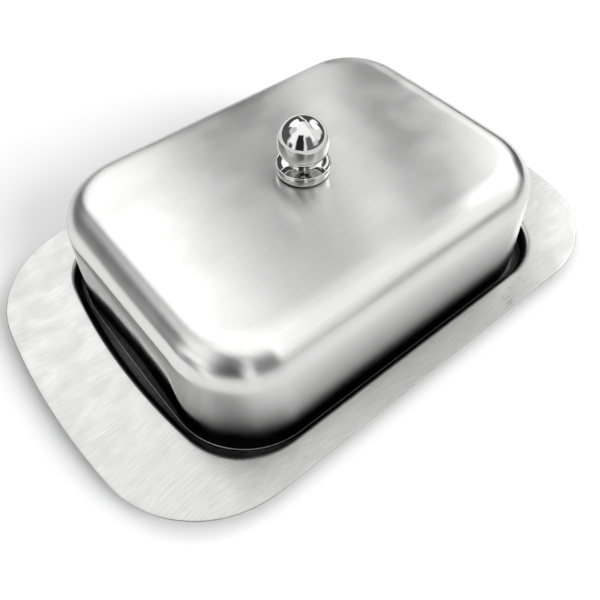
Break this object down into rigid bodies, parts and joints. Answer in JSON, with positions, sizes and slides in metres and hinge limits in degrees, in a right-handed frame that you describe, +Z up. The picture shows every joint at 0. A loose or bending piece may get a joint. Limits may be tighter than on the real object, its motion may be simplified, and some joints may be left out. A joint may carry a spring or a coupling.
{
  "type": "butter dish",
  "caption": "Oblong steel butter dish: a flat-flanged tray with a shallow well, and a deep rounded lid with a ball knob that lifts straight off.",
  "frame": {"origin": "centre of the bounding box on the table plane, which is the tray's flat underside", "axes": "+X along the long side, +Y across it, +Z up through the knob"},
  "size_m": [0.2, 0.13, 0.0624],
  "materials": {
    "tray_brushed_steel": "brushed along the long side",
    "lid_satin_steel": "fine satin",
    "knob_chrome": "mirror polished",
    "gasket_rubber": "matt black",
    "washer_steel": "plain",
    "screw_steel": "plain"
  },
  "bodies": {
    "tray": {"tray": "tray_brushed_steel"},
    "lid": {"lid_shell": "lid_satin_steel", "knob": "knob_chrome", "knob_gasket": "gasket_rubber", "knob_washer": "washer_steel", "knob_screw": "screw_steel"}
  },
  "joints": [
    {"name": "lid_lift", "type": "slide", "parent": "tray", "child": "lid", "axis": [0, 0, 1], "range_m": [0, 0.1]}
  ]
}
